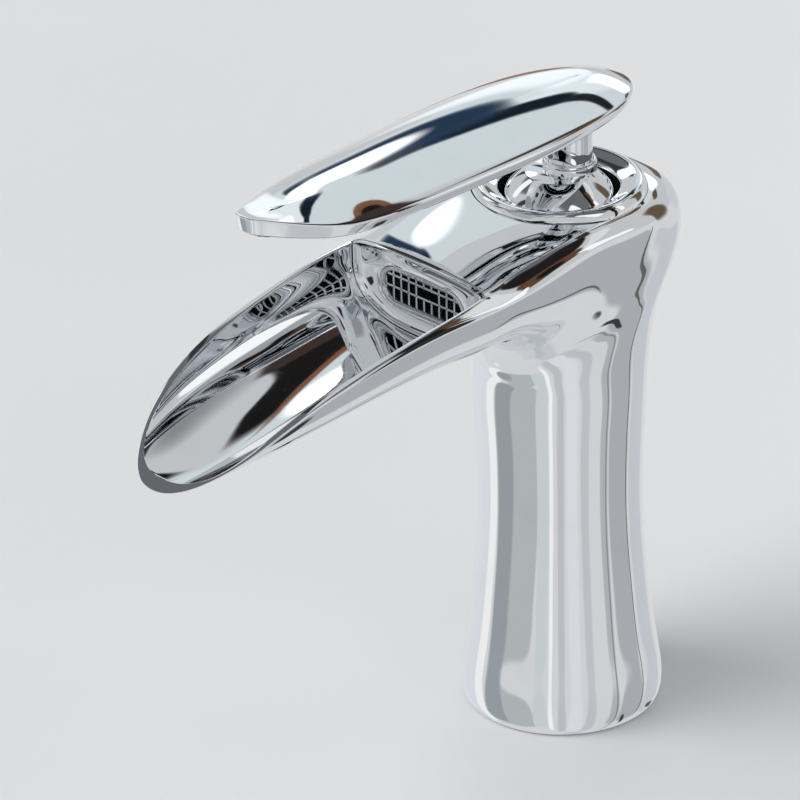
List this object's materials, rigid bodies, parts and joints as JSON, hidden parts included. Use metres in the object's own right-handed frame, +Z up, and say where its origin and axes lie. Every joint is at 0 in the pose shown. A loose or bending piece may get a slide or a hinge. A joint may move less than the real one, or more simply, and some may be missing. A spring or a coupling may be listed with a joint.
{
  "type": "basin mixer tap",
  "caption": "Single-lever basin mixer with a waisted column, an open trough spout and a flat leaf-shaped lever on a ball head.",
  "frame": {"origin": "centre of the column's base on the deck face, at the middle of the tap hole", "axes": "+Z up, spout points to -Y, +X is to the left of a user who stands at the spout and faces the tap"},
  "size_m": [0.0502, 0.1657, 0.2138],
  "materials": {
    "chrome_plate": "polished",
    "grille_plate": "satin",
    "rubber_black": "matte",
    "cartridge_plastic": "matte",
    "ceramic_disc": "satin",
    "raw_brass": "satin",
    "plain_steel": "satin",
    "plug_grey": "gloss"
  },
  "bodies": {
    "tap": {"faucet_body": "chrome_plate", "outlet_insert": "chrome_plate", "outlet_grille": "grille_plate", "outlet_seal": "rubber_black", "trim_ring": "chrome_plate", "cartridge_housing": "cartridge_plastic", "cartridge_base": "cartridge_plastic", "port_seals": "rubber_black", "fixed_disc": "ceramic_disc", "housing_seal": "rubber_black", "cartridge_nut": "raw_brass", "base_seal": "rubber_black", "fixing_stud": "raw_brass", "clamp_gasket": "rubber_black", "clamp_plate": "plain_steel", "fixing_nut": "raw_brass"},
    "swivel": {"rotor": "cartridge_plastic", "pivot_pin": "plain_steel"},
    "handle": {"spindle": "plain_steel", "ball_dome": "chrome_plate", "lever_stem": "chrome_plate", "stem_collar": "chrome_plate", "lever_leaf": "chrome_plate", "grub_screw": "plain_steel", "screw_plug": "plug_grey", "hub_screw": "plain_steel"},
    "valve": {"disc_carrier": "cartridge_plastic", "moving_disc": "ceramic_disc"}
  },
  "joints": [
    {"name": "temperature_turn", "type": "hinge", "parent": "tap", "child": "swivel", "pos_m": [0, 0, 0.1285], "axis": [0, 0, 1], "range_deg": [-45, 45]},
    {"name": "flow_tilt", "type": "hinge", "parent": "swivel", "child": "handle", "pos_m": [0, 0, 0.1285], "axis": [-1, 0, 0], "range_deg": [0, 18]},
    {"name": "disc_slide", "type": "slide", "parent": "swivel", "child": "valve", "axis": [0, -1, 0], "range_m": [0, 0.005]}
  ],
  "couplings": [
    {"joint": "disc_slide", "follows": "flow_tilt", "m_per_rad": 0.01574}
  ]
}
